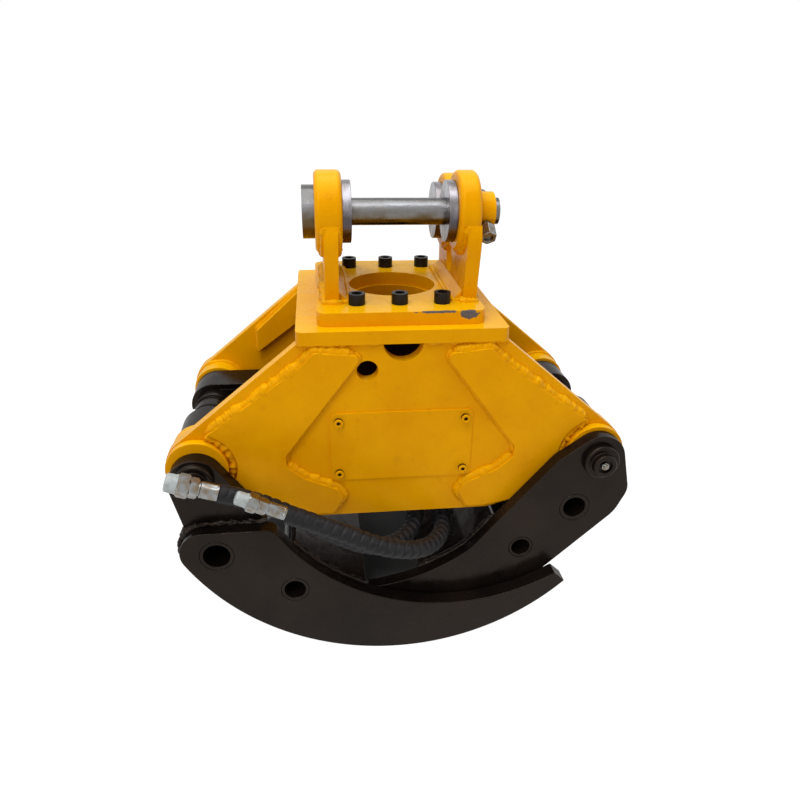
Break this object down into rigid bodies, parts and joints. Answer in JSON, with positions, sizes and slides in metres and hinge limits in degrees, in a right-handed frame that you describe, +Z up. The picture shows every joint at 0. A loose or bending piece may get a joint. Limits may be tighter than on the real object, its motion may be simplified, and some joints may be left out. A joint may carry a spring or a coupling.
{
  "type": "grapple",
  "caption": "Two-jaw timber grapple for a mini excavator, with a bolted pin-on bracket and a hydraulic cylinder between curved tines that close past each other.",
  "frame": {"origin": "on the floor under the middle of the frame, which is the centre of the bottom of the object without its hoses to within a few millimetres", "axes": "+Z up, X across the two jaws with the left jaw at -X, -Y the front with the cover plate"},
  "size_m": [0.6984, 0.5096, 0.72],
  "materials": {
    "yellow_paint": "gloss",
    "black_paint": "gloss",
    "pin_steel": "greased",
    "turned_steel": "turned",
    "black_oxide_steel": "black oxide",
    "zinc_steel": "zinc plated",
    "bronze": "machined",
    "chrome_rod": "polished",
    "hose_rubber": "matt"
  },
  "bodies": {
    "frame": {"top_plate": "yellow_paint", "front_plate": "yellow_paint", "rear_plate": "yellow_paint", "front_doubler_left": "yellow_paint", "front_doubler_right": "yellow_paint", "rear_doubler_left": "yellow_paint", "rear_doubler_right": "yellow_paint", "arm_rails": "yellow_paint", "cross_webs": "yellow_paint", "cover_plate": "yellow_paint", "cover_screws": "yellow_paint", "bracket_base": "yellow_paint", "bracket_screws": "black_oxide_steel", "ear_left": "yellow_paint", "ear_right": "yellow_paint", "eye_bosses": "yellow_paint", "ear_foot_strips": "yellow_paint", "hitch_pin_front": "pin_steel", "hitch_pin_rear": "pin_steel", "pin_collars": "turned_steel", "keeper_bosses": "yellow_paint", "keeper_bolts_and_nuts": "zinc_steel", "pivot_bosses": "yellow_paint", "pivot_bushes": "bronze", "thrust_washers": "yellow_paint"},
    "left_jaw": {"left_tine_front": "black_paint", "left_tine_rear": "black_paint", "left_lugs": "black_paint", "left_cross_tubes": "black_paint", "left_scoop": "black_paint", "left_lever_cheeks": "black_paint", "left_lever_straps": "black_paint", "left_hub": "black_paint", "left_pivot_pin": "pin_steel", "left_pin_caps": "black_paint", "left_grease_nipples": "zinc_steel", "left_cylinder_pin": "pin_steel"},
    "right_jaw": {"right_tine_front": "black_paint", "right_tine_rear": "black_paint", "right_cross_tubes": "black_paint", "right_scoop": "black_paint", "right_lever_cheeks": "black_paint", "right_lever_straps": "black_paint", "right_hub": "black_paint", "right_pivot_pin": "pin_steel", "right_pin_caps": "black_paint", "right_grease_nipples": "zinc_steel", "right_cylinder_pin": "pin_steel"},
    "cylinder_barrel": {"cylinder_tube": "black_paint", "cylinder_cap": "black_paint", "cylinder_gland": "black_paint", "port_block": "black_paint", "port_sleeves": "zinc_steel", "transfer_pipe": "zinc_steel", "rear_hose": "hose_rubber", "front_hose": "hose_rubber", "rear_hose_fitting": "zinc_steel", "front_hose_fitting": "zinc_steel"},
    "piston_rod": {"piston": "turned_steel", "piston_rod": "chrome_rod"}
  },
  "joints": [
    {"name": "left_jaw_swing", "type": "hinge", "parent": "frame", "child": "left_jaw", "pos_m": [-0.3, 0, 0.317], "axis": [0, 1, 0], "range_deg": [0, 105]},
    {"name": "right_jaw_swing", "type": "hinge", "parent": "frame", "child": "right_jaw", "pos_m": [0.3, 0, 0.317], "axis": [0, -1, 0], "range_deg": [0, 105]},
    {"name": "barrel_pivot", "type": "hinge", "parent": "left_jaw", "child": "cylinder_barrel", "pos_m": [-0.213, 0, 0.294], "axis": [0, -1, 0], "range_deg": [0, 105]},
    {"name": "rod_pivot", "type": "hinge", "parent": "right_jaw", "child": "piston_rod", "pos_m": [0.213, 0, 0.294], "axis": [0, 1, 0], "range_deg": [0, 105]}
  ],
  "couplings": [
    {"joint": "right_jaw_swing", "follows": "left_jaw_swing", "ratio": 1},
    {"joint": "barrel_pivot", "follows": "left_jaw_swing", "ratio": 1},
    {"joint": "rod_pivot", "follows": "left_jaw_swing", "ratio": 1}
  ]
}
